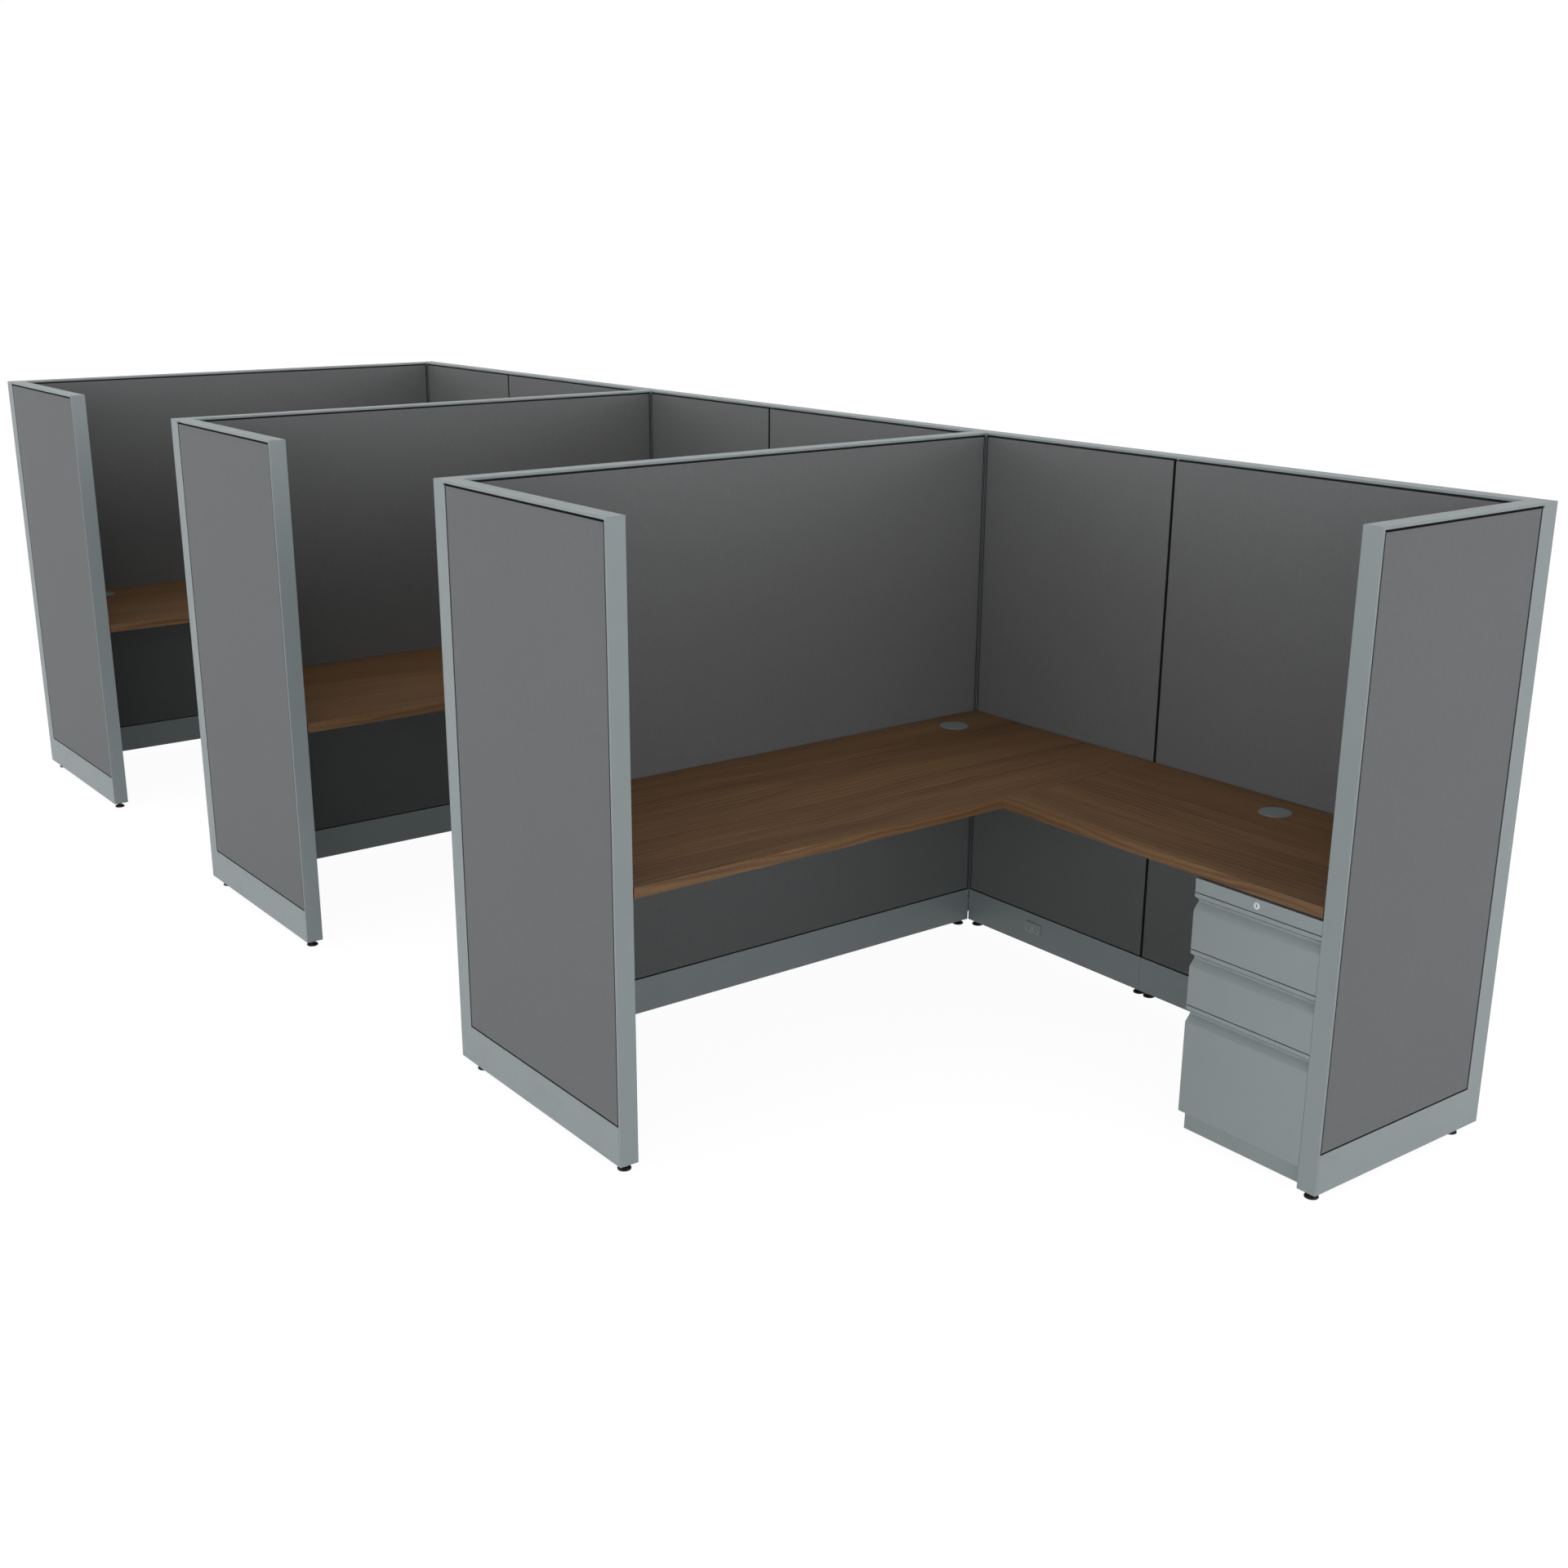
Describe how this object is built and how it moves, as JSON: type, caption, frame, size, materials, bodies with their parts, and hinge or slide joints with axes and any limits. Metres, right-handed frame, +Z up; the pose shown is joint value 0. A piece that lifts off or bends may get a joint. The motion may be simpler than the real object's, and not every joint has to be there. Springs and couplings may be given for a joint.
{
  "type": "cubicle workstation",
  "caption": "Run of cubicle workstations: grey fabric panels on a shared spine, each bay with an L-shaped walnut worksurface, cable grommets, a raceway outlet and a locking drawer pedestal.",
  "frame": {"origin": "on the floor, in the middle of the run's overall length and depth", "axes": "+X along the spine to the right as seen from the open front, +Y towards the spine's outer side, +Z up"},
  "size_m": [5.7024, 1.9368, 1.635],
  "materials": {
    "tile_fabric": "woven",
    "trim_paint": "satin",
    "frame_steel": "satin",
    "core_board": "matte",
    "glide_black": "matte",
    "zinc_steel": "satin",
    "outlet_plastic": "satin",
    "feed_plastic": "matte",
    "walnut_laminate": "satin",
    "walnut_edge": "satin",
    "bracket_paint": "satin",
    "grommet_plastic": "satin",
    "pedestal_paint": "satin",
    "drawer_paint": "satin",
    "pad_rubber": "matte",
    "lock_nickel": "satin"
  },
  "bodies": {
    "station": {"slotted_stiles": "frame_steel", "frame_rails": "frame_steel", "acoustic_cores": "core_board", "fabric_tiles": "tile_fabric", "raceway_covers": "trim_paint", "top_caps": "trim_paint", "end_trims": "trim_paint", "leveling_glides": "glide_black", "frame_fasteners": "zinc_steel", "connector_posts": "trim_paint", "joining_plates": "zinc_steel", "duplex_outlets": "outlet_plastic", "power_feed": "feed_plastic", "main_worksurfaces": "walnut_laminate", "side_worksurfaces": "walnut_laminate", "edge_bands": "walnut_edge", "cantilever_brackets": "bracket_paint", "worksurface_rails": "bracket_paint", "worksurface_screws": "zinc_steel", "grommet_sleeves": "grommet_plastic", "pedestal_cases": "pedestal_paint", "pedestal_plinths": "pedestal_paint", "pedestal_pads": "pad_rubber", "slide_rails": "zinc_steel"},
    "drawer_a1": {"drawer_front_a1": "pedestal_paint", "drawer_box_a1": "drawer_paint"},
    "drawer_a2": {"drawer_front_a2": "pedestal_paint", "drawer_box_a2": "drawer_paint"},
    "drawer_a3": {"drawer_front_a3": "pedestal_paint", "drawer_box_a3": "drawer_paint"},
    "slide_middles_a": {"slide_middles_a": "zinc_steel"},
    "lock_cylinder_a": {"lock_cylinder_a": "lock_nickel"},
    "lock_bar_a": {"lock_bar_a": "zinc_steel"},
    "grommet_cap_a1": {"grommet_cap_a1": "grommet_plastic"},
    "grommet_cap_a2": {"grommet_cap_a2": "grommet_plastic"},
    "grommet_cap_a3": {"grommet_cap_a3": "grommet_plastic"},
    "drawer_b1": {"drawer_front_b1": "pedestal_paint", "drawer_box_b1": "drawer_paint"},
    "drawer_b2": {"drawer_front_b2": "pedestal_paint", "drawer_box_b2": "drawer_paint"},
    "drawer_b3": {"drawer_front_b3": "pedestal_paint", "drawer_box_b3": "drawer_paint"},
    "slide_middles_b": {"slide_middles_b": "zinc_steel"},
    "lock_cylinder_b": {"lock_cylinder_b": "lock_nickel"},
    "lock_bar_b": {"lock_bar_b": "zinc_steel"},
    "grommet_cap_b1": {"grommet_cap_b1": "grommet_plastic"},
    "grommet_cap_b2": {"grommet_cap_b2": "grommet_plastic"},
    "grommet_cap_b3": {"grommet_cap_b3": "grommet_plastic"},
    "drawer_c1": {"drawer_front_c1": "pedestal_paint", "drawer_box_c1": "drawer_paint"},
    "drawer_c2": {"drawer_front_c2": "pedestal_paint", "drawer_box_c2": "drawer_paint"},
    "drawer_c3": {"drawer_front_c3": "pedestal_paint", "drawer_box_c3": "drawer_paint"},
    "slide_middles_c": {"slide_middles_c": "zinc_steel"},
    "lock_cylinder_c": {"lock_cylinder_c": "lock_nickel"},
    "lock_bar_c": {"lock_bar_c": "zinc_steel"},
    "grommet_cap_c1": {"grommet_cap_c1": "grommet_plastic"},
    "grommet_cap_c2": {"grommet_cap_c2": "grommet_plastic"},
    "grommet_cap_c3": {"grommet_cap_c3": "grommet_plastic"}
  },
  "joints": [
    {"name": "drawer_a1_slide", "type": "slide", "parent": "station", "child": "drawer_a1", "axis": [0, -1, 0], "range_m": [0, 0.38]},
    {"name": "drawer_a2_slide", "type": "slide", "parent": "station", "child": "drawer_a2", "axis": [0, -1, 0], "range_m": [0, 0.38]},
    {"name": "drawer_a3_slide", "type": "slide", "parent": "station", "child": "drawer_a3", "axis": [0, -1, 0], "range_m": [0, 0.5]},
    {"name": "slide_middles_a_slide", "type": "slide", "parent": "station", "child": "slide_middles_a", "axis": [0, -1, 0], "range_m": [0, 0.25]},
    {"name": "lock_a_turn", "type": "hinge", "parent": "station", "child": "lock_cylinder_a", "pos_m": [-1.1584, 0.3013, 0.695], "axis": [0, 1, 0], "range_deg": [0, 90]},
    {"name": "lock_bar_a_slide", "type": "slide", "parent": "station", "child": "lock_bar_a", "axis": [0, 0, -1], "range_m": [0, 0.01]},
    {"name": "grommet_cap_a1_lift", "type": "slide", "parent": "station", "child": "grommet_cap_a1", "axis": [0, 0, 1], "range_m": [0, 0.04]},
    {"name": "grommet_cap_a2_lift", "type": "slide", "parent": "station", "child": "grommet_cap_a2", "axis": [0, 0, 1], "range_m": [0, 0.04]},
    {"name": "grommet_cap_a3_lift", "type": "slide", "parent": "station", "child": "grommet_cap_a3", "axis": [0, 0, 1], "range_m": [0, 0.04]},
    {"name": "drawer_b1_slide", "type": "slide", "parent": "station", "child": "drawer_b1", "axis": [0, -1, 0], "range_m": [0, 0.38]},
    {"name": "drawer_b2_slide", "type": "slide", "parent": "station", "child": "drawer_b2", "axis": [0, -1, 0], "range_m": [0, 0.38]},
    {"name": "drawer_b3_slide", "type": "slide", "parent": "station", "child": "drawer_b3", "axis": [0, -1, 0], "range_m": [0, 0.5]},
    {"name": "slide_middles_b_slide", "type": "slide", "parent": "station", "child": "slide_middles_b", "axis": [0, -1, 0], "range_m": [0, 0.25]},
    {"name": "lock_b_turn", "type": "hinge", "parent": "station", "child": "lock_cylinder_b", "pos_m": [0.7244, 0.3013, 0.695], "axis": [0, 1, 0], "range_deg": [0, 90]},
    {"name": "lock_bar_b_slide", "type": "slide", "parent": "station", "child": "lock_bar_b", "axis": [0, 0, -1], "range_m": [0, 0.01]},
    {"name": "grommet_cap_b1_lift", "type": "slide", "parent": "station", "child": "grommet_cap_b1", "axis": [0, 0, 1], "range_m": [0, 0.04]},
    {"name": "grommet_cap_b2_lift", "type": "slide", "parent": "station", "child": "grommet_cap_b2", "axis": [0, 0, 1], "range_m": [0, 0.04]},
    {"name": "grommet_cap_b3_lift", "type": "slide", "parent": "station", "child": "grommet_cap_b3", "axis": [0, 0, 1], "range_m": [0, 0.04]},
    {"name": "drawer_c1_slide", "type": "slide", "parent": "station", "child": "drawer_c1", "axis": [0, -1, 0], "range_m": [0, 0.38]},
    {"name": "drawer_c2_slide", "type": "slide", "parent": "station", "child": "drawer_c2", "axis": [0, -1, 0], "range_m": [0, 0.38]},
    {"name": "drawer_c3_slide", "type": "slide", "parent": "station", "child": "drawer_c3", "axis": [0, -1, 0], "range_m": [0, 0.5]},
    {"name": "slide_middles_c_slide", "type": "slide", "parent": "station", "child": "slide_middles_c", "axis": [0, -1, 0], "range_m": [0, 0.25]},
    {"name": "lock_c_turn", "type": "hinge", "parent": "station", "child": "lock_cylinder_c", "pos_m": [2.6072, 0.3013, 0.695], "axis": [0, 1, 0], "range_deg": [0, 90]},
    {"name": "lock_bar_c_slide", "type": "slide", "parent": "station", "child": "lock_bar_c", "axis": [0, 0, -1], "range_m": [0, 0.01]},
    {"name": "grommet_cap_c1_lift", "type": "slide", "parent": "station", "child": "grommet_cap_c1", "axis": [0, 0, 1], "range_m": [0, 0.04]},
    {"name": "grommet_cap_c2_lift", "type": "slide", "parent": "station", "child": "grommet_cap_c2", "axis": [0, 0, 1], "range_m": [0, 0.04]},
    {"name": "grommet_cap_c3_lift", "type": "slide", "parent": "station", "child": "grommet_cap_c3", "axis": [0, 0, 1], "range_m": [0, 0.04]}
  ],
  "couplings": [
    {"joint": "slide_middles_a_slide", "follows": "drawer_a3_slide", "ratio": 0.5},
    {"joint": "lock_a_turn", "follows": "lock_bar_a_slide", "rad_per_m": 157.08},
    {"joint": "slide_middles_b_slide", "follows": "drawer_b3_slide", "ratio": 0.5},
    {"joint": "lock_b_turn", "follows": "lock_bar_b_slide", "rad_per_m": 157.08},
    {"joint": "slide_middles_c_slide", "follows": "drawer_c3_slide", "ratio": 0.5},
    {"joint": "lock_c_turn", "follows": "lock_bar_c_slide", "rad_per_m": 157.08}
  ]
}
